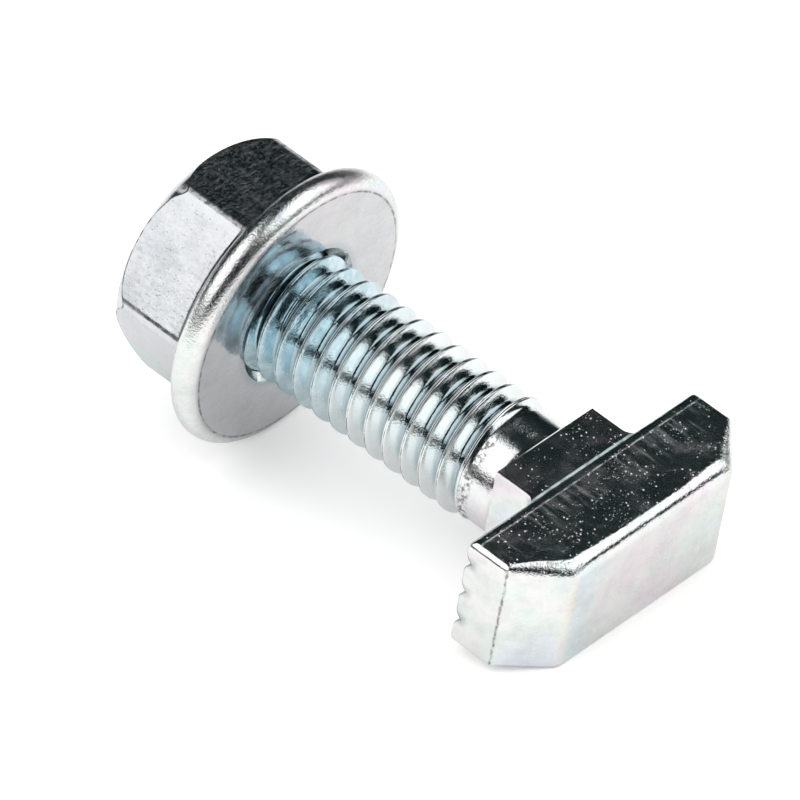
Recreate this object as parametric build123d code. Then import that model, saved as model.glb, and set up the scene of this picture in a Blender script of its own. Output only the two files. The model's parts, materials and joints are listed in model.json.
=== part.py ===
"""T-slot bolt: a forged hammer head with a toothed seat, a square neck, a rolled thread and a flange nut."""

import math
import os

from build123d import *

# ------------------------------------------------------------------ driving dimensions, millimetres
# Thread, coarse metric series
THREAD_MAJOR = 5.9
THREAD_ROOT = 4.77
THREAD_PITCH = 1.0
THREAD_FLANK_ANGLE = 30.0
BOLT_LENGTH = 20.0  # seat of the head to the tip
TIP_CHAMFER = 0.6
RIDGE_START = 0.3  # first full crest past the end of the shank, on the head's upper side
RUNOUT_LENGTH = 0.5  # over which the ridge rises out of the shank

# Plain shank between the thread and the neck
SHANK_DIAMETER = 5.4
SHANK_LENGTH = 1.8
SHANK_FLARE = 0.6  # radius of the hollow curve from the shank to the neck

# Neck that fills the mouth of the slot
NECK_LENGTH = 6.0
NECK_WIDTH = 5.4
NECK_HEIGHT = 2.0
NECK_CORNER = 0.35

# Hammer head
HEAD_LENGTH = 14.0
HEAD_WIDTH = 5.6
HEAD_HEIGHT = 4.1
HEAD_END_HEIGHT = 2.2  # straight part of the end faces, seat to chamfer
HEAD_BACK_LENGTH = 9.8  # flat outer face between the two end chamfers
HEAD_EDGE_ROUND = 0.36

# Teeth pressed into the seat, running along the head
TOOTH_HEIGHT = 0.3
TOOTH_PITCH = 1.55
TOOTH_SHIFT = 0.15  # middle notch off the head's centre line

# Hexagon flange nut
NUT_HEIGHT = 5.9
NUT_ACROSS_FLATS = 9.8
NUT_CORNER_ROUND = 0.4
NUT_CHAMFER_DEPTH = 1.1
NUT_CHAMFER_ROUND = 2.0
NUT_TOP_DIAMETER = 9.1  # flat ring left inside the chamfer at the outer end
FLANGE_DIAMETER = 13.2
FLANGE_EDGE_ROUND = 0.7
FLANGE_CONE_ANGLE = 25.0
BORE_CLEARANCE = 0.05  # radial, round the crest of the thread
COUNTERSINK_DEPTH = 0.3  # 45 degree mouths, as deep as they widen the bore

BEND_STEP = 36.0  # the turned roundings are drawn in steps of at most this angle

# Places of the nut on the bolt
NUT_SEAT = 15.3  # seat of the head to the flange's bearing face
NUT_TURN = 57.0  # one corner of the hexagon, from the head's long way, degrees

# ------------------------------------------------------------------ worked-out sizes
crest_radius = THREAD_MAJOR / 2
core_radius = THREAD_ROOT / 2
shank_radius = SHANK_DIAMETER / 2
shank_top = NECK_HEIGHT + SHANK_LENGTH
flange_radius = FLANGE_DIAMETER / 2
bore_radius = crest_radius + BORE_CLEARANCE
tooth_radius = ((TOOTH_PITCH / 2) ** 2 + TOOTH_HEIGHT**2) / (2 * TOOTH_HEIGHT)


def bend(centre, radius, angle_from, angle_to):
    """Points along a rounded corner of a turned profile, so that it is drawn as short cones."""
    steps = math.ceil(abs(angle_to - angle_from) / BEND_STEP)
    angles = [math.radians(angle_from + (angle_to - angle_from) * i / steps) for i in range(steps + 1)]
    return [(centre[0] + radius * math.cos(a), centre[1] + radius * math.sin(a)) for a in angles]


# Both pieces are drawn upright on one axis: +Z runs from the head's seat (z = 0) to the tip,
# and +Y runs along the head.
def make_head():
    """Long plate with chamfered ends, all outer edges rounded, and teeth across its seat."""
    half = HEAD_LENGTH / 2
    back = HEAD_BACK_LENGTH / 2
    with BuildSketch(Plane.YZ) as outline:
        with BuildLine():
            Polyline(
                (-half, 0),
                (-half, -HEAD_END_HEIGHT),
                (-back, -HEAD_HEIGHT),
                (back, -HEAD_HEIGHT),
                (half, -HEAD_END_HEIGHT),
                (half, 0),
                close=True,
            )
        make_face()
    plate = extrude(outline.sketch, HEAD_WIDTH / 2, both=True)
    side_faces = plate.faces().filter_by(Axis.X)
    rim = side_faces.edges().filter_by(lambda e: e.center().Z < -1e-6)
    plate = fillet(rim, HEAD_EDGE_ROUND)
    return plate - make_tooth_gaps()


def make_tooth_gaps():
    """What the teeth leave free: a slab on the seat, less one long round ridge for each tooth."""
    slab = Box(
        HEAD_WIDTH * 2,
        HEAD_LENGTH * 2,
        TOOTH_HEIGHT,
        align=(Align.CENTER, Align.CENTER, Align.MAX),
    )
    count = math.ceil(HEAD_WIDTH / TOOTH_PITCH) + 2
    for i in range(-count, count + 1):
        middle = TOOTH_SHIFT + (i + 0.5) * TOOTH_PITCH
        ridge = Cylinder(tooth_radius, HEAD_LENGTH * 3, rotation=(90, 0, 0))
        slab -= Pos(middle, 0, -tooth_radius) * ridge
    return slab


def make_neck():
    """Square neck rooted in the head, its long corners broken, with the flare up to the shank."""
    foot = TOOTH_HEIGHT + HEAD_EDGE_ROUND
    prism = Pos(0, 0, -foot) * Box(
        NECK_WIDTH,
        NECK_LENGTH,
        NECK_HEIGHT + SHANK_FLARE + foot,
        align=(Align.CENTER, Align.CENTER, Align.MIN),
    )
    prism = chamfer(prism.edges().filter_by(Axis.Z), NECK_CORNER)

    flare_radius = shank_radius + SHANK_FLARE
    flare_top = NECK_HEIGHT + SHANK_FLARE
    reach = NECK_LENGTH
    with BuildSketch(Plane.XZ) as half:
        with BuildLine():
            Polyline(
                (0, flare_top),
                (0, -foot),
                (reach, -foot),
                (reach, NECK_HEIGHT),
                *bend((flare_radius, flare_top), SHANK_FLARE, 270, 180),
                close=True,
            )
        make_face()
    return prism & revolve(half.sketch, Axis.Z)


def make_shank():
    """Plain shank, with the cone where the thread's grooves run out."""
    step = shank_radius - core_radius
    with BuildSketch(Plane.XZ) as half:
        with BuildLine():
            Polyline(
                (0, NECK_HEIGHT / 2),
                (shank_radius, NECK_HEIGHT / 2),
                (shank_radius, shank_top),
                (core_radius, shank_top + step),
                (0, shank_top + step),
                close=True,
            )
        make_face()
    return revolve(half.sketch, Axis.Z)


def make_thread():
    """Threaded rod in one closed skin: flank, flank and root wound up a turn at a time."""
    slope = math.tan(math.radians(THREAD_FLANK_ANGLE))
    foot_half = (crest_radius - core_radius) * slope
    profile = [
        (core_radius, -foot_half),
        (crest_radius, 0),
        (core_radius, foot_half),
        (core_radius, THREAD_PITCH - foot_half),
    ]
    first = shank_top + RIDGE_START - 2 * THREAD_PITCH
    turns = math.ceil((BOLT_LENGTH - first) / THREAD_PITCH) + 1
    faces = []
    for turn in range(turns):
        start = first + turn * THREAD_PITCH
        edges = [
            Edge.make_helix(THREAD_PITCH, THREAD_PITCH, radius, center=(0, 0, start + height))
            for radius, height in profile
        ]
        faces += [Face.make_surface_from_curves(low, high) for low, high in zip(edges, edges[1:])]
        if turn == 0:
            faces += thread_end(profile, start, edges[0])
    faces += thread_end(profile, first + turns * THREAD_PITCH, edges[-1])
    return Solid(Shell(faces))


def thread_end(profile, height, helix):
    """Closes the wound skin: a flat wall out from the axis, and a spiral floor up to the helix."""
    corners = [(0, profile[0][1]), *profile, (0, profile[-1][1])]
    wall = Face(Wire.make_polygon([(radius, 0, height + rise) for radius, rise in corners], close=True))
    axis = Edge.make_line((0, 0, (helix @ 0).Z), (0, 0, (helix @ 1).Z))
    return [wall, Face.make_surface_from_curves(axis, helix)]


def make_thread_envelope():
    """What the die leaves: the ridge rises out of the shank over a short cone, and the tip is chamfered."""
    outer = crest_radius + RUNOUT_LENGTH
    with BuildSketch(Plane.XZ) as half:
        with BuildLine():
            Polyline(
                (0, shank_top - RUNOUT_LENGTH),
                (core_radius, shank_top - RUNOUT_LENGTH),
                (crest_radius, shank_top + RUNOUT_LENGTH),
                (outer, shank_top + RUNOUT_LENGTH),
                (outer, BOLT_LENGTH - TIP_CHAMFER - RUNOUT_LENGTH),
                (crest_radius - TIP_CHAMFER, BOLT_LENGTH),
                (0, BOLT_LENGTH),
                close=True,
            )
        make_face()
    return revolve(half.sketch, Axis.Z)


def make_bolt():
    """One forging: head, neck, shank and thread."""
    thread = make_thread() & make_thread_envelope()
    return make_head() + make_neck() + (make_shank() + thread)


def make_nut():
    """Hexagon and conical flange in one piece, bored clear of the thread's crest."""
    with BuildSketch(Plane.XY) as hexagon:
        RegularPolygon(NUT_ACROSS_FLATS / 2, 6, major_radius=False)
        fillet(hexagon.vertices(), NUT_CORNER_ROUND)
    prism = extrude(hexagon.sketch, NUT_HEIGHT)

    rim = flange_radius - FLANGE_EDGE_ROUND
    cone = math.radians(FLANGE_CONE_ANGLE)
    edge = bend((rim, FLANGE_EDGE_ROUND), FLANGE_EDGE_ROUND, -90, 0)
    edge += bend((rim, FLANGE_EDGE_ROUND), FLANGE_EDGE_ROUND, 0, 90 - FLANGE_CONE_ANGLE)[1:]
    touch_radius, touch_height = edge[-1]
    cone_height = touch_height + (touch_radius - bore_radius) * math.tan(cone)
    with BuildSketch(Plane.XZ) as flange_half:
        with BuildLine():
            Polyline((0, 0), *edge, (bore_radius, cone_height), (0, cone_height), close=True)
        make_face()
    flange = revolve(flange_half.sketch, Axis.Z)

    outer = NUT_ACROSS_FLATS
    shoulder = NUT_HEIGHT - NUT_CHAMFER_DEPTH
    inset = corner_radius() - NUT_TOP_DIAMETER / 2
    chord = math.hypot(inset, NUT_CHAMFER_DEPTH)
    slant = math.degrees(math.atan2(inset, NUT_CHAMFER_DEPTH))
    half_sweep = math.degrees(math.asin(chord / 2 / NUT_CHAMFER_ROUND))
    first = math.radians(slant - half_sweep)
    arc_radius = corner_radius() - NUT_CHAMFER_ROUND * math.cos(first)
    arc_height = shoulder - NUT_CHAMFER_ROUND * math.sin(first)
    dome = bend((arc_radius, arc_height), NUT_CHAMFER_ROUND, slant - half_sweep, slant + half_sweep)
    with BuildSketch(Plane.XZ) as envelope_half:
        with BuildLine():
            Polyline((0, 0), (outer, 0), (outer, shoulder), *dome, (0, NUT_HEIGHT), close=True)
        make_face()
    envelope = revolve(envelope_half.sketch, Axis.Z)

    body = flange + (prism & envelope)
    mouth_radius = bore_radius + COUNTERSINK_DEPTH
    bore = Cylinder(bore_radius, NUT_HEIGHT, align=(Align.CENTER, Align.CENTER, Align.MIN))
    mouth = Cone(mouth_radius, bore_radius, COUNTERSINK_DEPTH, align=(Align.CENTER, Align.CENTER, Align.MIN))
    back = Pos(0, 0, NUT_HEIGHT - COUNTERSINK_DEPTH) * Cone(
        bore_radius, mouth_radius, COUNTERSINK_DEPTH, align=(Align.CENTER, Align.CENTER, Align.MIN)
    )
    return body - bore - mouth - back


def corner_radius():
    """Centre of the nut to its rounded corners."""
    sharp = NUT_ACROSS_FLATS / math.sqrt(3)
    return sharp - NUT_CORNER_ROUND * (2 / math.sqrt(3) - 1)


def rest_tilt():
    """Angle of the axis when the flange's rim and the head's outer edge both lie on one plane."""
    flange_z = NUT_SEAT + FLANGE_EDGE_ROUND
    flange_x = flange_radius - FLANGE_EDGE_ROUND
    head_z = -HEAD_HEIGHT + HEAD_EDGE_ROUND
    head_x = HEAD_WIDTH / 2 - HEAD_EDGE_ROUND
    along = flange_z - head_z
    across = flange_x - head_x
    lean = math.atan2(across, along)
    return math.degrees(lean + math.asin((FLANGE_EDGE_ROUND - HEAD_EDGE_ROUND) / math.hypot(along, across)))


def lay_down(solid):
    """Turn the upright drawing onto its side, head end low, the head's long way level."""
    return solid.rotate(Axis.Y, rest_tilt() - 90)


bolt = lay_down(make_bolt())
nut = lay_down(Pos(0, 0, NUT_SEAT) * make_nut().rotate(Axis.Z, 90 - NUT_TURN))
box = Compound([bolt, nut]).bounding_box()
centre = Pos(-(box.min.X + box.max.X) / 2, -(box.min.Y + box.max.Y) / 2, -box.min.Z)

os.makedirs("parts", exist_ok=True)
export_step(centre * bolt, "parts/t_slot_bolt.step")
export_step(centre * nut, "parts/flange_nut.step")
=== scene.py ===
import json
import math

import bmesh
import bpy
from mathutils import Matrix, Vector


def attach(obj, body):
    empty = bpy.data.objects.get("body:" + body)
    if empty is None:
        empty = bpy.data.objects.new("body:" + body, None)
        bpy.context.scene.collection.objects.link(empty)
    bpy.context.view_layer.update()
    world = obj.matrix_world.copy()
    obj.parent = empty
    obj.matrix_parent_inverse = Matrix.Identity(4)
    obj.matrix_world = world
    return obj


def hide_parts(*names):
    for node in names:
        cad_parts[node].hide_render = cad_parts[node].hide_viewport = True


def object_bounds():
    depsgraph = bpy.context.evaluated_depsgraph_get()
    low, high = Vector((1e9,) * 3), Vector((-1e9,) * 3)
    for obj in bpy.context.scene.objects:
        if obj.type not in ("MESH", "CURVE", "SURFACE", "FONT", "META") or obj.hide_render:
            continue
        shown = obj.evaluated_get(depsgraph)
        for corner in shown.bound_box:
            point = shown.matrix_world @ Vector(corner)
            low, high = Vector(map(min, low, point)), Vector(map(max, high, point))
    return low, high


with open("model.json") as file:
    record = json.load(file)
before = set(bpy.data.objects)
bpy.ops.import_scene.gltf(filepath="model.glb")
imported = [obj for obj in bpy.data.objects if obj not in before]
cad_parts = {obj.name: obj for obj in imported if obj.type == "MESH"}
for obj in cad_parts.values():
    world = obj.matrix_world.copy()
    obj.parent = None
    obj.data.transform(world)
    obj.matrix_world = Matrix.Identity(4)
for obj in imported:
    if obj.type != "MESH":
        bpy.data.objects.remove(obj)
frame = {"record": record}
cad_low, cad_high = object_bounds()

# the upright drawing of the bolt, in millimetres, laid on its side as the solids lie
thread_mount = next(m for m in frame["record"]["mounts"] if m["name"] == "thread")
to_tip = Vector(thread_mount["axis"]).normalized()
head_way = Vector((0.0, 1.0, 0.0))
upward = head_way.cross(to_tip)
MOUNT_HEIGHT = 0.010
seat = Vector(thread_mount["pos_m"]) - to_tip * MOUNT_HEIGHT
lying = Matrix((upward, head_way, to_tip)).transposed().to_4x4()
lying_turn = lying.to_euler("XYZ")
lying.translation = seat
lying = lying @ Matrix.Scale(0.001, 4)

# ---------------------------------------------------------------- camera
# A long lens about half a metre off, looking down on the lying bolt from the head's end, level.
camera_data = bpy.data.cameras.new("camera")
camera_data.type = "PERSP"
camera_data.sensor_width = 36.0
camera_data.lens = 525.3
camera_data.clip_start = 0.01
camera_data.clip_end = 20.0
camera = bpy.data.objects.new("camera", camera_data)
camera_right = Vector((0.746469, 0.665404, -0.004780))
camera_up = Vector((-0.385052, 0.437799, 0.812445))
camera_back = Vector((0.542697, -0.604624, 0.583018))
camera.matrix_world = Matrix((camera_right, camera_up, camera_back)).transposed().to_4x4()
camera.location = seat + Vector((0.251575, -0.290731, 0.281565))
bpy.context.collection.objects.link(camera)
bpy.context.scene.camera = camera
bpy.context.scene.view_settings.view_transform = "Standard"


# ---------------------------------------------------------------- shader wording
# Sockets that add their own Math nodes, and one way to add any other node.
class Level:
    """An output socket of a node tree; + - * / on it add Math nodes."""

    def __init__(self, tree, socket):
        self.tree = tree
        self.socket = socket

    def math(self, operation, *values):
        return self.tree.add("ShaderNodeMath", {"operation": operation}, dict(enumerate(values))).out(0)

    def __add__(self, other):
        return self.math("ADD", self, other)

    def __sub__(self, other):
        return self.math("SUBTRACT", self, other)

    def __rsub__(self, other):
        return self.math("SUBTRACT", other, self)

    def __mul__(self, other):
        return self.math("MULTIPLY", self, other)

    def __truediv__(self, other):
        return self.math("DIVIDE", self, other)

    __radd__ = __add__
    __rmul__ = __mul__

    def power(self, other):
        return self.math("POWER", self, other)

    def size(self):
        return self.math("ABSOLUTE", self)

    def pingpong(self, scale):
        return self.math("PINGPONG", self, scale)

    def at_most(self, limit):
        return self.math("MINIMUM", self, limit)

    def direction(self, aside):
        return self.math("ARCTAN2", self, aside)

    def ramp(self, low, high):
        """Smoothly from 0 at low to 1 at high, and level beyond."""
        settings = {"interpolation_type": "SMOOTHSTEP"}
        inputs = {0: self, 1: low, 2: high, 3: 0.0, 4: 1.0}
        return self.tree.add("ShaderNodeMapRange", settings, inputs).out(0)

    def fade(self, low, high):
        """Smoothly from 1 at low to 0 at high, and level beyond."""
        return 1.0 - self.ramp(low, high)


class Finish:
    """A node tree that is written top to bottom."""

    def __init__(self, tree):
        self.tree = tree
        self.tree.nodes.clear()

    def add(self, kind, settings=None, inputs=None):
        node = self.tree.nodes.new(kind)
        for name, value in (settings or {}).items():
            setattr(node, name, value)
        for name, value in (inputs or {}).items():
            if isinstance(value, Level):
                value = value.socket
            if isinstance(value, bpy.types.NodeSocket):
                self.tree.links.new(value, node.inputs[name])
            else:
                node.inputs[name].default_value = value
        return Added(self, node)

    def blend(self, factor, first, second):
        """The first colour where factor is 0 and the second where it is 1."""
        return self.add("ShaderNodeMix", {"data_type": "RGBA"}, {0: factor, 6: first, 7: second}).out(2)


class Added:
    """A node just added, with its sockets."""

    def __init__(self, finish, node):
        self.finish = finish
        self.node = node

    def out(self, name):
        return Level(self.finish, self.node.outputs[name])


# ---------------------------------------------------------------- floor and light
# A white table under a white room for what is matt; metal sees the table, two soft boxes low over it,
# and dark cloth overhead, which gives the plating its black and white bands.
floor_mesh = bpy.data.meshes.new("floor")
shape = bmesh.new()
bmesh.ops.create_grid(shape, x_segments=1, y_segments=1, size=6.0)
shape.to_mesh(floor_mesh)
shape.free()
floor = bpy.data.objects.new("floor", floor_mesh)
bpy.context.collection.objects.link(floor)

floor_material = bpy.data.materials.new("white_table")
floor_material.use_nodes = True
table = Finish(floor_material.node_tree)
seen = table.add("ShaderNodeLightPath").out("Is Camera Ray")
matt = table.add("ShaderNodeBsdfDiffuse", {}, {"Color": (0.86, 0.86, 0.855, 1.0)})
lift = table.add("ShaderNodeEmission", {}, {"Color": (1.0, 1.0, 0.99, 1.0), "Strength": seen * 0.26})
both = table.add("ShaderNodeAddShader", {}, {0: matt.out(0), 1: lift.out(0)})
table.add("ShaderNodeOutputMaterial", {}, {"Surface": both.out(0)})
floor_mesh.materials.append(floor_material)

world = bpy.data.worlds.new("room")
world.use_nodes = True
bpy.context.scene.world = world
room = Finish(world.node_tree)
matt_ray = room.add("ShaderNodeLightPath").out("Is Diffuse Ray")
white_room = room.add("ShaderNodeBackground", {}, {"Color": (1.0, 1.0, 0.995, 1.0), "Strength": 0.80})
near_black = (0.0035, 0.0105, 0.0115, 1.0)
dark_cloth = room.add("ShaderNodeBackground", {}, {"Color": near_black, "Strength": 1.0})
choice = room.add(
    "ShaderNodeMixShader",
    {},
    {0: matt_ray, 1: dark_cloth.out(0), 2: white_room.out(0)},
)
room.add("ShaderNodeOutputWorld", {}, {"Surface": choice.out(0)})

middle = (cad_low + cad_high) / 2
soft_boxes = {
    "soft_box_left": (-24.0, 46.0, 0.34, 0.34, 1.3),
    "soft_box_right": (133.0, 48.0, 0.36, 0.33, 1.25),
}
for name, (azimuth, elevation, width, height, radiance) in soft_boxes.items():
    turn, lift_angle = math.radians(azimuth), math.radians(elevation)
    towards = Vector(
        (
            math.sin(turn) * math.cos(lift_angle),
            -math.cos(turn) * math.cos(lift_angle),
            math.sin(lift_angle),
        )
    )
    lamp = bpy.data.lights.new(name, "AREA")
    lamp.shape = "RECTANGLE"
    lamp.size = width
    lamp.size_y = height
    lamp.energy = radiance * math.pi * width * height
    soft_box = bpy.data.objects.new(name, lamp)
    soft_box.location = middle + towards * 0.3
    soft_box.rotation_mode = "QUATERNION"
    soft_box.rotation_quaternion = towards.to_track_quat("Z", "Y")
    bpy.context.collection.objects.link(soft_box)


# ---------------------------------------------------------------- bright zinc plate
# Thin bright zinc over forged steel, blue passivated: clouded, speckled where the steel is pitted,
# drawn into fine streaks along the bolt where the dies closed, and faintly pink, green and blue.
# Some of its colour is painted light: painted shade near the nut, in the thread's root, round the bore,
# on the nut's lower side and in the teeth's gaps, and a painted highlight along the seat's top edge.

# sizes that the plating's marks share with the shapes, in millimetres, heights from the head's seat
THREAD_START = 2.10
PITCH = 1.0
HEAD_HALF = (2.8, 7.0)
HEAD_HEIGHT = 4.1
END_HEIGHT = 2.2
BACK_HALF = 4.9
TOOTH_PITCH = 1.55
TOOTH_HEIGHT = 0.4
TOOTH_SHIFT = 0.15
TOOTH_RADIUS = ((TOOTH_PITCH / 2) ** 2 + TOOTH_HEIGHT**2) / (2 * TOOTH_HEIGHT)
NUT_SEAT = 15.3
NUT_TURN = 57.0

# the passivation's colours and the dark of the seams, with painted shade colours for the thread near the
# nut, the thread's root, the ring round the bore, the nut's lower side and the teeth's gaps, and a
# painted highlight colour for the seat's top edge
COOL_WHITE = (0.83, 0.87, 0.93, 1.0)
GREEN_WHITE = (0.84, 0.90, 0.87, 1.0)
WARM_WHITE = (0.89, 0.895, 0.89, 1.0)
PINK_WHITE = (0.91, 0.84, 0.88, 1.0)
SHANK_BLUE = (0.86, 0.905, 0.91, 1.0)
NUT_SHADE_LIGHT_TEAL = (0.60, 0.77, 0.83, 1.0)
NUT_SHADE_DEEP_TEAL = (0.42, 0.60, 0.67, 1.0)
ROOT_SHADE_TEAL = (0.34, 0.44, 0.48, 1.0)
FACE_BLUE = (0.77, 0.88, 0.93, 1.0)
BEARING_GREY = (0.71, 0.70, 0.72, 1.0)
BORE_SHADE_TEAL = (0.20, 0.34, 0.40, 1.0)
UNDER_GREEN = (0.60, 0.70, 0.67, 1.0)
UNDER_VIOLET = (0.68, 0.66, 0.75, 1.0)
UNDER_PINK = (0.76, 0.62, 0.70, 1.0)
HEXAGON_GREY = (0.66, 0.67, 0.70, 1.0)
DULL_GREY = (0.50, 0.52, 0.53, 1.0)
WORN_CREAM = (0.86, 0.76, 0.62, 1.0)
TOOTH_SHADE_GREY = (0.30, 0.30, 0.31, 1.0)
SEAM_BROWN = (0.085, 0.065, 0.055, 1.0)
SEAT_EDGE_HIGHLIGHT_TEAL = (0.62, 0.80, 0.79, 1.0)


def zinc_plate(name, on_bolt):
    material = bpy.data.materials.new(name)
    material.use_nodes = True
    zinc = Finish(material.node_tree)
    place = zinc.add("ShaderNodeTexCoord").out("Object")
    # millimetres, with X up, Y along the head and Z along the bolt
    bolt_frame = zinc.add(
        "ShaderNodeMapping",
        {"vector_type": "TEXTURE"},
        {"Vector": place, "Location": seat, "Rotation": lying_turn, "Scale": (0.001, 0.001, 0.001)},
    ).out(0)
    split = zinc.add("ShaderNodeSeparateXYZ", {}, {0: bolt_frame})
    across, along, up_bolt = split.out(0), split.out(1), split.out(2)

    def noise_at(scale, detail, roughness=0.55, stretch=None, seed=0.0):
        where = bolt_frame
        if stretch:
            where = zinc.add("ShaderNodeMapping", {}, {"Vector": where, "Scale": stretch}).out(0)
        settings = {"noise_dimensions": "4D"}
        inputs = {"Vector": where, "W": seed, "Scale": scale, "Detail": detail, "Roughness": roughness}
        return zinc.add("ShaderNodeTexNoise", settings, inputs).out(0)

    def pits_at(scale):
        inputs = {"Vector": bolt_frame, "Scale": scale, "Randomness": 1.0}
        return zinc.add("ShaderNodeTexVoronoi", {"feature": "F1"}, inputs).out("Distance")

    clouds = noise_at(0.7, 5.0, 0.62, None, 1.0)
    grain = noise_at(6.0, 4.0, 0.62, None, 2.0)
    drawn = noise_at(4.0, 3.0, 0.6, (1.0, 1.0, 0.12), 3.0)
    dents = noise_at(1.6, 3.0, 0.55, None, 6.0)
    bristle = noise_at(11.0, 2.0, 0.6, None, 11.0)
    pits, small_pits = pits_at(3.6), pits_at(7.5)
    pitted = noise_at(0.9, 3.0, 0.6, None, 4.0)
    # fine white specks over the pits, coarse and small
    specks = pits.fade(0.05, 0.20) * pitted.ramp(0.40, 0.48)
    specks = specks + small_pits.fade(0.08, 0.30) * pitted.ramp(0.46, 0.58) * 0.5
    broken = noise_at(2.6, 3.0, 0.6, None, 7.0).ramp(0.40, 0.56)
    wobble = (noise_at(3.0, 2.0, 0.5, None, 8.0) - 0.5) * 0.16

    def distance(aside, down):
        return (aside * aside + down * down).power(0.5)

    out_from_axis = distance(across, along)

    # the colours that the passivation leaves, and painted shade near the nut, in the thread's root,
    # round the bore and on the nut's lower side
    hue = noise_at(0.30, 2.0, 0.5, None, 5.0)
    tint = zinc.blend(hue.ramp(0.34, 0.44), COOL_WHITE, GREEN_WHITE)
    tint = zinc.blend(hue.ramp(0.44, 0.52), tint, WARM_WHITE)
    tint = zinc.blend(hue.ramp(0.54, 0.64), tint, PINK_WHITE)
    if on_bolt:
        specks = specks * up_bolt.fade(1.6, 3.0)
        threaded = up_bolt.ramp(3.6, 4.3) * out_from_axis.ramp(2.20, 2.30)
        # how far a point is from the crest of the thread, in pitches
        wound = (up_bolt - THREAD_START) / PITCH - along.direction(across) / (2 * math.pi)
        off_crest = wound.pingpong(0.5)
        tint = zinc.blend(up_bolt.ramp(2.2, 4.0) * 0.85, tint, SHANK_BLUE)
        # painted shade: the turns next to the nut are made darker, mottled light and deep teal
        nut_shade_teal = zinc.blend(dents.ramp(0.40, 0.60), NUT_SHADE_LIGHT_TEAL, NUT_SHADE_DEEP_TEAL)
        tint = zinc.blend(up_bolt.ramp(8.5, 14.8) * 0.95, tint, nut_shade_teal)
        # painted shade: the thread's root is a darker teal
        tint = zinc.blend(off_crest.ramp(0.28, 0.44) * threaded * 0.9, tint, ROOT_SHADE_TEAL)
        outer_face = up_bolt.fade(0.02 - HEAD_HEIGHT, 0.10 - HEAD_HEIGHT)
        bluish = outer_face * along.ramp(-4.7, -4.3) * along.fade(-4.1, -2.6) * 0.6
        tint = zinc.blend(bluish, tint, FACE_BLUE)
    else:
        bearing = up_bolt.fade(NUT_SEAT + 0.01, NUT_SEAT + 0.06)
        tint = zinc.blend(bearing * 0.85, tint, BEARING_GREY)
        # painted shade: a dark teal ring round the bore, in place of the thread's dark reflection in the
        # bearing face
        bore_shade = bearing * out_from_axis.fade(3.3, 3.7) * 0.3
        tint = zinc.blend(bore_shade, tint, BORE_SHADE_TEAL)
        # the passivation's rainbow hues on the nut's lower side, painted darker there as shade
        rainbow_and_lower_shade = up_bolt.ramp(16.6, 17.2) * across.fade(-3.6, -0.5) * 0.8
        rainbow_and_shade = zinc.blend(hue.ramp(0.40, 0.50), UNDER_GREEN, UNDER_VIOLET)
        rainbow_and_shade = zinc.blend(hue.ramp(0.52, 0.62), rainbow_and_shade, UNDER_PINK)
        tint = zinc.blend(up_bolt.ramp(16.7, 17.0) * 0.85, tint, HEXAGON_GREY)
        tint = zinc.blend(rainbow_and_lower_shade, tint, rainbow_and_shade)
        specks = specks * 0.35
    # clouded greyer, least on the thread
    dull = clouds.ramp(0.42, 0.70) * 0.22 + dents.ramp(0.42, 0.64) * 0.16 + grain.ramp(0.48, 0.75) * 0.10
    if on_bolt:
        dull = dull * (1.0 - threaded * 0.7)
    colour = zinc.blend(dull, tint, DULL_GREY)

    # dark seams: the fold along the thread's crest, the edges and pocks of the head, the ragged foot of
    # the thread, the nut's brow and the edge of its bearing face
    if on_bolt:
        marks = off_crest.fade(0.008, 0.030) * threaded * (0.2 + broken * 0.8)
        half_along = along.size()
        far = distance(half_along - HEAD_HALF[1] + wobble, up_bolt + END_HEIGHT + wobble)
        marks = marks + far.fade(0.02, 0.10) * 0.85 * (0.3 + broken * 0.7)
        pocked = pits.fade(0.02, 0.07) * pitted.ramp(0.46, 0.52) * across.fade(2.6, 2.75)
        marks = marks + pocked * 0.6 * up_bolt.fade(0.0, 0.2)
        outer = (across - 2.54 + wobble * 0.7).size()
        marks = marks + outer_face * outer.fade(0.02, 0.07) * (0.6 + broken * 0.4)
        burr = up_bolt.ramp(3.25, 3.5) * up_bolt.fade(3.7, 3.95)
        ragged = noise_at(5.0, 3.0, 0.6, None, 9.0).ramp(0.46, 0.58)
        marks = marks + burr * along.fade(-0.6, 0.6) * ragged * 0.8
        # a dark line down each corner of the neck
        far = distance(half_along - 2.79, across - 2.70)
        marks = marks + far.fade(0.02, 0.06) * up_bolt.ramp(0.1, 0.4) * up_bolt.fade(1.8, 2.0)
        # the worn corner between the sloped end and the outer face is creamy
        far = distance(half_along - (BACK_HALF - 0.05), up_bolt + (HEAD_HEIGHT - 0.02))
        cream = far.fade(0.05, 0.45) * (0.10 + grain.ramp(0.42, 0.6) * 0.45)
        colour = zinc.blend(cream, colour, WORN_CREAM)
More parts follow.
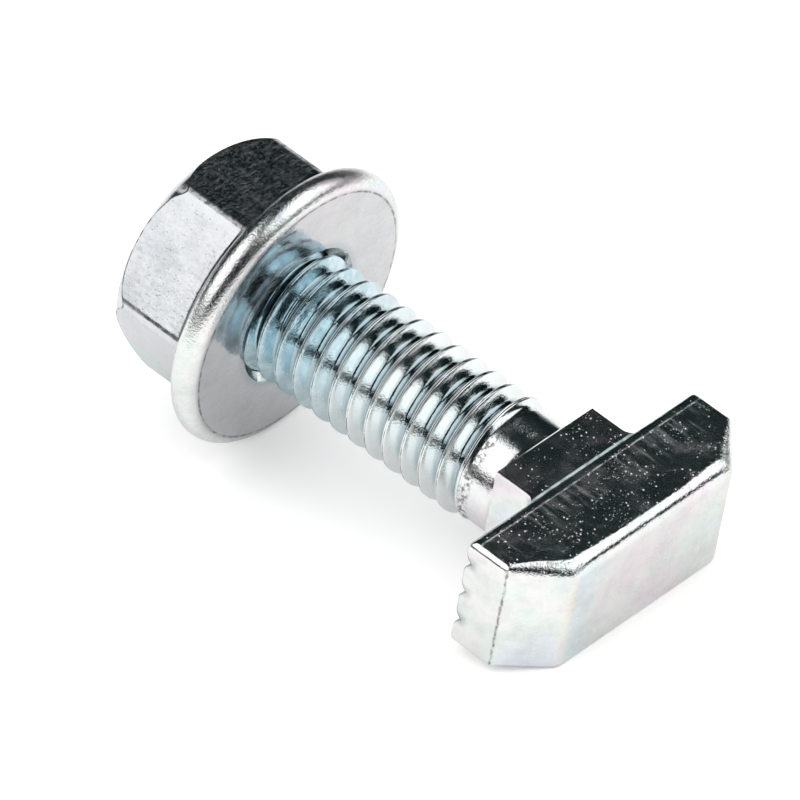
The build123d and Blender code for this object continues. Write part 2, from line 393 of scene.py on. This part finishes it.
        # painted shade: grey in the gaps of the teeth and round each tooth
        off_crown = TOOTH_PITCH / 2 - (across - TOOTH_SHIFT).pingpong(TOOTH_PITCH / 2)
        crown = (TOOTH_RADIUS**2 - off_crown * off_crown).power(0.5) - TOOTH_RADIUS
        rim = (up_bolt - crown).ramp(-0.10, -0.02) * across.fade(2.3, 2.6)
        notch_shade = off_crown.ramp(0.355, 0.675) * up_bolt.ramp(-0.80, -0.45)
        painted_tooth_shade = (rim * 0.8 + notch_shade * 0.6) * half_along.ramp(6.2, 6.6)
        painted_tooth_shade = painted_tooth_shade * (0.6 + dents.ramp(0.4, 0.6) * 0.4)
        colour = zinc.blend(painted_tooth_shade, colour, TOOTH_SHADE_GREY)
    else:
        marks = zinc.add("ShaderNodeAttribute", {"attribute_name": "dark_line"}).out("Fac")
        marks = marks.ramp(0.15, 0.75) * (0.25 + broken * 0.75)
        edge_line = (out_from_axis - 5.98 + wobble * 0.4).size()
        marks = marks + bearing * edge_line.fade(0.02, 0.07) * (0.2 + broken * 0.6)
    marks = marks.at_most(1.0)
    colour = zinc.blend(marks * 0.9, colour, SEAM_BROWN)

    # smoothest on the thread and the bearing face, which mirror what is round them
    rough = clouds.ramp(0.35, 0.7) * 0.08 + grain.ramp(0.45, 0.7) * 0.05 + marks * 0.25
    if on_bolt:
        rough = rough * (1.0 - threaded * 0.7) + 0.09 + up_bolt.ramp(1.9, 2.4) * 0.06 - threaded * 0.11
    else:
        rough = rough * (1.0 - bearing * 0.6) + (0.13 - bearing * 0.08)
    # milky where the zinc is drawn, worn or scratched, and along the seat's top edge a painted highlight
    if on_bolt:
        top = across.ramp(2.5, 2.7)
        streaks = drawn.ramp(0.48, 0.70) * up_bolt.ramp(-2.6, -0.9) * up_bolt.fade(-0.62, -0.52) * top
        milky = (clouds.ramp(0.46, 0.70) * 0.03 + 0.008) * up_bolt.fade(2.0, 2.6) + streaks * 0.13
        line = (up_bolt + 0.57 + wobble * 0.4).size()
        milky = milky + line.fade(0.01, 0.06) * top * (0.08 + broken * 0.25)
        # painted highlight: a pale teal, less metallic line along the seat's top edge
        line = (up_bolt + 0.11 + wobble * 0.3).size()
        seat_edge_highlight = line.fade(0.03, 0.09) * across.ramp(2.42, 2.5)
        milky = milky + seat_edge_highlight * (0.35 + broken * 0.25)
        colour = zinc.blend(seat_edge_highlight * 0.8, colour, SEAT_EDGE_HIGHLIGHT_TEAL)
    else:
        tilted = zinc.add(
            "ShaderNodeMapping",
            {},
            {"Vector": bolt_frame, "Rotation": (0.5, 0.3, 0.9), "Scale": (1.0, 0.16, 1.0)},
        ).out(0)
        inputs = {"Vector": tilted, "Scale": 9.0, "Detail": 3.0, "Roughness": 0.7}
        scratch = zinc.add("ShaderNodeTexNoise", {}, inputs).out(0)
        milky = drawn.ramp(0.50, 0.72) * 0.035 + scratch.ramp(0.50, 0.68) * 0.08
        milky = milky + grain.ramp(0.42, 0.68) * 0.05
        # scuffed along the six corners of the hexagon
        turned = along.direction(across) / math.radians(60) - (90 - NUT_TURN) / 60
        corner = turned.pingpong(0.5) + (grain - 0.5) * 0.02
        scuffed = corner.fade(0.018, 0.050) * up_bolt.ramp(16.7, 17.1) * out_from_axis.ramp(5.0, 5.2)
        milky = milky + scuffed * (0.15 + broken * 0.45)
    milky = milky * (1.0 - marks)
    metallic = 1.0 - milky - specks.ramp(0.3, 0.9) * 0.7

    # relief of a few thousandths: grain, dents and pits, with a bristle where an edge is rounded
    height = grain * 0.9 + drawn * (1.1 if on_bolt else 0.6) + dents * 2.2 - specks * 1.6
    if on_bolt:
        swell = noise_at(0.9, 2.0, 0.5, None, 10.0)
        height = height * (1.0 - up_bolt.ramp(2.5, 3.5) * 0.45)
        height = height + swell * 9.0 * up_bolt.fade(0.5, 2.0)
        rounded = across.ramp(2.15, 2.4) * across.fade(2.74, 2.80) * up_bolt.fade(-2.2, -1.9)
        rounded = rounded * (0.35 + half_along.ramp(3.8, 4.8) * 0.65)
        rounded = rounded + up_bolt.ramp(2.3, 2.6) * up_bolt.fade(3.3, 3.8) * 0.3
        height = height + bristle * (rounded * 6.0 + threaded * 2.2)
    else:
        rounded = out_from_axis.ramp(5.75, 5.95) * up_bolt.fade(16.4, 16.7)
        height = height * (1.0 - bearing * 0.4) + bristle * rounded * 4.5
    bump = zinc.add("ShaderNodeBump", {}, {"Strength": 1.0, "Distance": 0.000005, "Height": height})
    inputs = {"Base Color": colour, "Metallic": metallic, "Roughness": rough, "Normal": bump.out(0)}
    metal = zinc.add("ShaderNodeBsdfPrincipled", {}, inputs)
    zinc.add("ShaderNodeOutputMaterial", {}, {"Surface": metal.out(0)})
    return material


bolt_zinc = zinc_plate("zinc_plate_bolt", True)
nut_zinc = zinc_plate("zinc_plate_nut", False)


def new_piece(name, shape, material, body, node):
    """Lays a drawn shape down and hands it over as a piece."""
    bmesh.ops.recalc_face_normals(shape, faces=shape.faces)
    for edge in shape.edges:
        edge.smooth = len(edge.link_faces) == 2 and edge.calc_face_angle(math.pi) < math.radians(38)
    for face in shape.faces:
        face.smooth = True
    bmesh.ops.transform(shape, matrix=lying, verts=shape.verts)
    mesh = bpy.data.meshes.new(name)
    shape.to_mesh(mesh)
    shape.free()
    mesh.materials.append(material)
    piece = bpy.data.objects.new(name, mesh)
    bpy.context.collection.objects.link(piece)
    flats = piece.modifiers.new("flat_faces_stay_flat", "WEIGHTED_NORMAL")
    flats.keep_sharp = True
    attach(piece, body)
    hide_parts(node)


# ---------------------------------------------------------------- bolt
# One forging in zinc-plated steel: hammer head with a toothed seat, square neck, plain shank, and a
# thread rolled up out of the shank, with the fold that rolling leaves along its crest.
SEGMENTS = 96


def wind_thread(profile, start, turns):
    """Winds one pitch of a thread's section, (height, radius) points, up the axis."""
    shape = bmesh.new()
    verts = [shape.verts.new((radius, 0.0, start + height)) for height, radius in profile]
    edges = [shape.edges.new(pair) for pair in zip(verts, verts[1:])]
    bmesh.ops.spin(
        shape,
        geom=verts + edges,
        cent=(0, 0, 0),
        axis=(0, 0, 1),
        dvec=(0, 0, PITCH / SEGMENTS),
        angle=2 * math.pi,
        steps=SEGMENTS,
        use_merge=False,
        use_duplicate=False,
    )
    first_turn = shape.verts[:] + shape.edges[:] + shape.faces[:]
    for turn in range(1, turns):
        copied = bmesh.ops.duplicate(shape, geom=first_turn)["geom"]
        turned = [item for item in copied if isinstance(item, bmesh.types.BMVert)]
        bmesh.ops.translate(shape, verts=turned, vec=(0, 0, turn * PITCH))
    bmesh.ops.remove_doubles(shape, verts=shape.verts, dist=0.0005)
    return shape


def set_radius(vert, radius):
    scale = radius / math.hypot(vert.co.x, vert.co.y)
    vert.co.x *= scale
    vert.co.y *= scale


def slice_off(shape, height, upwards):
    """Cuts a shape level at a height and returns the edges of the cut."""
    geom = shape.verts[:] + shape.edges[:] + shape.faces[:]
    cut = bmesh.ops.bisect_plane(
        shape,
        geom=geom,
        dist=0.0001,
        plane_co=(0, 0, height),
        plane_no=(0, 0, 1 if upwards else -1),
        clear_outer=True,
    )
    return [item for item in cut["geom_cut"] if isinstance(item, bmesh.types.BMEdge)]


def smooth_step(value, low, high):
    part = min(max((value - low) / (high - low), 0.0), 1.0)
    return part * part * (3 - 2 * part)


def curve_point(start, bend_at, end, t):
    """A point, t of the way, on the curve that leaves start towards bend_at and comes in to end."""
    return start * (1 - t) ** 2 + bend_at * 2 * t * (1 - t) + end * t**2


def grow(shape, edges, place):
    """Extrudes a loop of edges once, each new corner put where place says."""
    made = bmesh.ops.extrude_edge_only(shape, edges=edges)["geom"]
    for vert in (item for item in made if isinstance(item, bmesh.types.BMVert)):
        vert.co = place(vert.co)
    return [item for item in made if isinstance(item, bmesh.types.BMEdge) and len(item.link_faces) == 1]


def bevelled(shape, width_of, largest, segments):
    """Rounds edges with a Bevel modifier; width_of gives each edge's own width."""
    weights = shape.edges.layers.float.new("bevel_weight_edge")
    for edge in shape.edges:
        edge[weights] = width_of(edge) / largest
    mesh = bpy.data.meshes.new("rounding")
    shape.to_mesh(mesh)
    shape.free()
    holder = bpy.data.objects.new("rounding", mesh)
    bpy.context.collection.objects.link(holder)
    rounding = holder.modifiers.new("rounding", "BEVEL")
    rounding.affect = "EDGES"
    rounding.material = -1
    rounding.limit_method = "WEIGHT"
    rounding.width = largest
    rounding.segments = segments
    rounding.profile = 0.5
    rounding.use_clamp_overlap = False
    evaluated = holder.evaluated_get(bpy.context.evaluated_depsgraph_get())
    result = bmesh.new()
    result.from_mesh(evaluated.to_mesh())
    bpy.data.objects.remove(holder)
    bpy.data.meshes.remove(mesh)
    return result


def run_out(shape, face, way):
    """Extrudes a face into a closed block."""
    made = bmesh.ops.extrude_face_region(shape, geom=[face])["geom"]
    bmesh.ops.translate(shape, verts=[v for v in made if isinstance(v, bmesh.types.BMVert)], vec=way)
    bmesh.ops.recalc_face_normals(shape, faces=shape.faces)


def joined(operation, shapes):
    """Joins closed shapes into one skin, or cuts the later ones out of the first."""
    holders = []
    for i, shape in enumerate(shapes):
        bmesh.ops.recalc_face_normals(shape, faces=shape.faces)
        mesh = bpy.data.meshes.new(f"joining_{i}")
        shape.to_mesh(mesh)
        shape.free()
        holder = bpy.data.objects.new(f"joining_{i}", mesh)
        bpy.context.collection.objects.link(holder)
        holders.append(holder)
    for other in holders[1:]:
        join = holders[0].modifiers.new("join", "BOOLEAN")
        join.operation = operation
        join.solver = "EXACT"
        join.object = other
    evaluated = holders[0].evaluated_get(bpy.context.evaluated_depsgraph_get())
    result = bmesh.new()
    result.from_mesh(evaluated.to_mesh())
    for holder in holders:
        mesh = holder.data
        bpy.data.objects.remove(holder)
        bpy.data.meshes.remove(mesh)
    return result


BOLT_LENGTH = 20.0
TIP_CHAMFER = 0.6
CREST_RADIUS = 2.95
SHANK_RADIUS = 2.7
THREAD_TURNS = 19
THREAD_FOOT = 3.45
THREAD_FADE = (3.55, 4.35)
crest = [(0.0, 2.922), (0.016, 2.942), (0.036, 2.95), (0.058, 2.945), (0.078, 2.925)]
flank = [(0.17, 2.766), (0.27, 2.592), (0.345, 2.462)]
root = [(0.385, 2.412), (0.435, 2.388), (0.5, 2.380)]
rising = crest + flank + root
profile = [(-height, radius) for height, radius in reversed(rising)] + rising[1:]
bolt_shape = wind_thread(profile, THREAD_START, THREAD_TURNS)
for vert in bolt_shape.verts:
    radius = math.hypot(vert.co.x, vert.co.y)
    radius = SHANK_RADIUS + (radius - SHANK_RADIUS) * smooth_step(vert.co.z, *THREAD_FADE)
    radius = min(radius, CREST_RADIUS - max(0.0, vert.co.z - BOLT_LENGTH + TIP_CHAMFER))
    set_radius(vert, max(radius, CREST_RADIUS - TIP_CHAMFER - 0.02))
tip_edge = slice_off(bolt_shape, BOLT_LENGTH, True)
bmesh.ops.edgeloop_fill(bolt_shape, edges=tip_edge)
shank_edge = slice_off(bolt_shape, THREAD_FOOT, False)

# shank, and the hollow curve down to the neck, square with rounded corners at its foot
FLARE = 0.6
FLARE_HALF = (2.695, 2.97)
NECK_HEIGHT = 2.0
NECK_HALF = (2.7, 3.0)
for height in (3.1, 2.8, 2.6):
    shank_edge = grow(bolt_shape, shank_edge, lambda co, z=height: Vector((co.x, co.y, z)))
for step in range(1, 9):
    angle = math.radians(90 * step / 8)
    height = NECK_HEIGHT + FLARE * (1 - math.sin(angle))

    def place(co, share=1 - math.cos(angle), height=height):
        way = Vector((co.x, co.y, 0.0)).normalized()
        foot = (abs(way.x / FLARE_HALF[0]) ** 3 + abs(way.y / FLARE_HALF[1]) ** 3) ** (-1 / 3)
        way *= SHANK_RADIUS + (foot - SHANK_RADIUS) * share
        return Vector((way.x, way.y, height))

    shank_edge = grow(bolt_shape, shank_edge, place)
shank_edge = grow(bolt_shape, shank_edge, lambda co: Vector((co.x * 0.98, co.y * 0.98, 1.9)))
bmesh.ops.edgeloop_fill(bolt_shape, edges=shank_edge)


# head: a chamfered block, every edge rounded in the die, the teeth pressed into its seat
NARROW_ROUND = 0.24
WIDE_ROUND = 0.74
head_shape = bmesh.new()
# the near half of its outline, with the corner at the outer face worn round
outline = [(-HEAD_HALF[1], 0.0), (-HEAD_HALF[1], -END_HEIGHT), (-6.4, -2.743), (-5.8, -3.286)]
corner_from, corner_to = Vector((-5.128, -3.893)), Vector((-4.592, -4.1))
sharp_corner = Vector((-BACK_HALF, -HEAD_HEIGHT))
for i in range(6):
    point = curve_point(corner_from, sharp_corner, corner_to, i / 5)
    outline.append((point.x, point.y))
outline += [(-y, z) for y, z in reversed(outline)]
side_face = head_shape.faces.new([head_shape.verts.new((-HEAD_HALF[0], y, z)) for y, z in outline])
run_out(head_shape, side_face, (2 * HEAD_HALF[0], 0, 0))


def head_round(edge):
    """How wide an edge of the head is rounded: widest on the slopes of the side that lies up."""
    a, b = edge.verts[0].co, edge.verts[1].co
    mid = (a + b) / 2
    if abs(a.x - b.x) > 1:
        if abs(mid.y) < HEAD_HALF[1] - 0.01:
            return 0.0
        return 0.12 if mid.z < -1 else 0.2
    if mid.x < 0:
        return 0.25
    if mid.z > -0.1:
        return 0.45
    if abs(a.y - b.y) < 0.001:
        return 0.38
    if abs(mid.y) < 4.0:
        return 0.55
    return NARROW_ROUND + (WIDE_ROUND - NARROW_ROUND) * min((HEAD_HALF[1] - abs(mid.y)) / 2.0, 1.0)


head_shape = bevelled(head_shape, head_round, WIDE_ROUND, 6)
gap_line = [(-3.4, 0.5), (-3.4, 0.05), (-2.3, 0.001)]
for notch in (TOOTH_SHIFT - TOOTH_PITCH, TOOTH_SHIFT, TOOTH_SHIFT + TOOTH_PITCH):
    for step in range(-10, 11):
        off = (10 - abs(step)) / 10 * TOOTH_PITCH / 2
        lobe = math.sqrt(TOOTH_RADIUS**2 - off**2) - TOOTH_RADIUS
        gap_line.append((notch + step / 10 * TOOTH_PITCH / 2, lobe - 0.003))
    gap_line.pop()
gap_line += [(TOOTH_SHIFT + 1.5 * TOOTH_PITCH, -0.003), (3.4, 0.05), (3.4, 0.5)]
gap_shape = bmesh.new()
gap_face = gap_shape.faces.new([gap_shape.verts.new((x, -8.0, z)) for x, z in gap_line])
run_out(gap_shape, gap_face, (0, 16.0, 0))
head_shape = joined("DIFFERENCE", [head_shape, gap_shape])

# neck: a block with hollow feet where it leaves the seat, its long corners broken
FOOT = 0.5
FOOT_DEPTH = 0.12
NECK_ROUND = 0.20
neck_shape = bmesh.new()
outline = [(-NECK_HALF[1] - FOOT, -0.6), (-NECK_HALF[1] - FOOT, -FOOT_DEPTH)]
for i in range(9):
    angle = math.radians(90 * i / 8)
    out, up = FOOT * (1 - math.sin(angle)), FOOT * (1 - math.cos(angle))
    outline.append((-NECK_HALF[1] - out, -FOOT_DEPTH + up))
outline.append((-NECK_HALF[1], NECK_HEIGHT))
outline += [(-y, z) for y, z in reversed(outline)]
side_face = neck_shape.faces.new([neck_shape.verts.new((-NECK_HALF[0], y, z)) for y, z in outline])
run_out(neck_shape, side_face, (2 * NECK_HALF[0], 0, 0))


def neck_round(edge):
    """Only the long corners are rounded, and hardly at all where the shank's flare meets them."""
    a, b = edge.verts[0].co, edge.verts[1].co
    if abs(a.x - b.x) > 0.01 or min(a.z, b.z) < -0.13:
        return 0.0
    return 0.04 if min(a.z, b.z) > NECK_HEIGHT - 0.01 else NECK_ROUND


neck_shape = bevelled(neck_shape, neck_round, NECK_ROUND, 2)

bolt_shape = joined("UNION", [head_shape, neck_shape, bolt_shape])
new_piece("bolt_forging", bolt_shape, bolt_zinc, "bolt", "t_slot_bolt")

# ---------------------------------------------------------------- nut
# A hexagon and its coned flange forged in one, tapped after forging, the outer end turned to a
# dome. It screws along the bolt's thread.
NUT_HEIGHT = 5.9
APOTHEM = 4.9
CORNER_ROUND = 0.4
FLANGE_RADIUS = 6.6
EDGE_ROUND = 0.7
CONE = math.radians(25)
DOME_ROUND = 2.0
DOME_DEPTH = 1.1
TOP_RADIUS = 4.55
MOUTH_RADIUS = 3.3
NUT_SEGMENTS = 192


def hexagon_radius(angle):
    """Centre to the hexagon's wall, its corners rounded."""
    off = abs((angle + math.pi / 6) % (math.pi / 3) - math.pi / 6)
    flat = APOTHEM / math.cos(math.pi / 6 - off)
    centre = (APOTHEM - CORNER_ROUND) / math.cos(math.pi / 6)
    inside = CORNER_ROUND**2 - (centre * math.sin(off)) ** 2
    if inside <= 0:
        return flat
    arc = centre * math.cos(off) + math.sqrt(inside)
    aside, out = CORNER_ROUND * math.sin(math.pi / 6), CORNER_ROUND * math.cos(math.pi / 6)
    tangent = math.atan2(aside, centre + out)
    return arc if off < tangent else flat


def nut_stations(angle):
    """(radius, height) points of the nut's outside at one angle, bearing face to outer end, and
    which of them is the brow, where a wall meets the dome."""
    wall = hexagon_radius(angle)
    corner = (APOTHEM - CORNER_ROUND) / math.cos(math.pi / 6) + CORNER_ROUND
    rim = FLANGE_RADIUS - EDGE_ROUND
    points = [(MOUTH_RADIUS + 0.02, 0.0), (MOUTH_RADIUS + 0.12, 0.0), (4.4, 0.0), (5.2, 0.0), (rim, 0.0)]
    for i in range(1, 13):
        bend = math.radians(-90 + (90 + 65) * i / 12)
        points.append((rim + EDGE_ROUND * math.cos(bend), EDGE_ROUND + EDGE_ROUND * math.sin(bend)))
    touch_radius, touch_height = points[-1]
    foot_height = touch_height + (touch_radius - wall) * math.tan(CONE)
    foot = 0.22
    for t in (0.35, 0.7):
        radius = touch_radius + (wall + foot - touch_radius) * t
        points.append((radius, touch_height + (touch_radius - radius) * math.tan(CONE)))
    start = Vector((wall + foot * math.cos(CONE), foot_height - foot * math.sin(CONE)))
    bend_at = Vector((wall, foot_height))
    end = Vector((wall, foot_height + foot))
    for i in range(5):
        point = curve_point(start, bend_at, end, i / 4)
        points.append((point.x, point.y))
    shoulder = NUT_HEIGHT - DOME_DEPTH
    inset = corner - TOP_RADIUS
    slant = math.atan2(inset, DOME_DEPTH)
    half_sweep = math.asin(math.hypot(inset, DOME_DEPTH) / 2 / DOME_ROUND)
    middle = corner - DOME_ROUND * math.cos(slant - half_sweep)
    level = shoulder - DOME_ROUND * math.sin(slant - half_sweep)
    begin = max(math.acos((wall - middle) / DOME_ROUND), slant - half_sweep)
    finish = slant + half_sweep
    brow = level + DOME_ROUND * math.sin(begin)
    for t in (0.2, 0.4, 0.6, 0.8):
        points.append((wall, end.y + (brow - end.y) * t))
    points.append((wall, brow - 0.07))
    brow_station = len(points)
    for t in (0.0, 0.05, 0.2, 0.4, 0.6, 0.8, 0.95, 1.0):
        bend = begin + (finish - begin) * t
        points.append((middle + DOME_ROUND * math.cos(bend), level + DOME_ROUND * math.sin(bend)))
    last = points[-1][0]
    points.append((last - 0.12, NUT_HEIGHT))
    points.append(((last + MOUTH_RADIUS) / 2, NUT_HEIGHT))
    points.append((MOUTH_RADIUS + 0.02, NUT_HEIGHT))
    return points, brow_station


nut_shape = bmesh.new()
line = nut_shape.verts.layers.float.new("dark_line")
ring = bmesh.ops.create_circle(nut_shape, cap_ends=False, segments=NUT_SEGMENTS, radius=1.0)["verts"]
columns = {}
for vert in ring:
    angle = math.atan2(vert.co.y, vert.co.x)
    columns[round(angle, 5)], brow_station = nut_stations(angle)
    vert.co = Vector((math.cos(angle), math.sin(angle), 0)) * columns[round(angle, 5)][0][0]
loop = list({edge for vert in ring for edge in vert.link_edges})
for station in range(1, len(nut_stations(0.0)[0])):

    def place(co, station=station):
        angle = math.atan2(co.y, co.x)
        radius, height = columns[min(columns, key=lambda key: abs(key - angle))][station]
        return Vector((radius * math.cos(angle), radius * math.sin(angle), height))

    loop = grow(nut_shape, loop, place)
    for vert in {vert for edge in loop for vert in edge.verts}:
        vert[line] = 1.0 if station == brow_station else 0.0

# tapped thread, opened by a countersink at each end
inner = [(0.0, 3.0), (0.05, 3.0), (0.40, 2.463)]
inner = [(-h, r) for h, r in reversed(inner)] + inner[1:] + [(0.6, 2.463)]
tapped = wind_thread(inner, THREAD_START + 11 * PITCH - NUT_SEAT, 9)
for vert in tapped.verts:
    radius = math.hypot(vert.co.x, vert.co.y)
    sink = MOUTH_RADIUS - min(vert.co.z, NUT_HEIGHT - vert.co.z)
    set_radius(vert, min(max(radius, sink), MOUTH_RADIUS))
slice_off(tapped, NUT_HEIGHT, True)
slice_off(tapped, 0.0, False)
# the thread keeps the bolt's phase, the outside is turned to its own angle
turned = Matrix.Rotation(math.radians(90 - NUT_TURN), 3, "Z")
bmesh.ops.rotate(nut_shape, verts=nut_shape.verts, cent=(0, 0, 0), matrix=turned)
tapped_mesh = bpy.data.meshes.new("tapped")
tapped.to_mesh(tapped_mesh)
tapped.free()
nut_shape.from_mesh(tapped_mesh)
bpy.data.meshes.remove(tapped_mesh)
for level in (0.0, NUT_HEIGHT):
    open_edges = [
        edge
        for edge in nut_shape.edges
        if len(edge.link_faces) == 1 and all(abs(vert.co.z - level) < 0.01 for vert in edge.verts)
    ]
    bmesh.ops.bridge_loops(nut_shape, edges=open_edges)
bmesh.ops.translate(nut_shape, verts=nut_shape.verts, vec=(0, 0, NUT_SEAT))
new_piece("nut_forging", nut_shape, nut_zinc, "nut", "flange_nut")
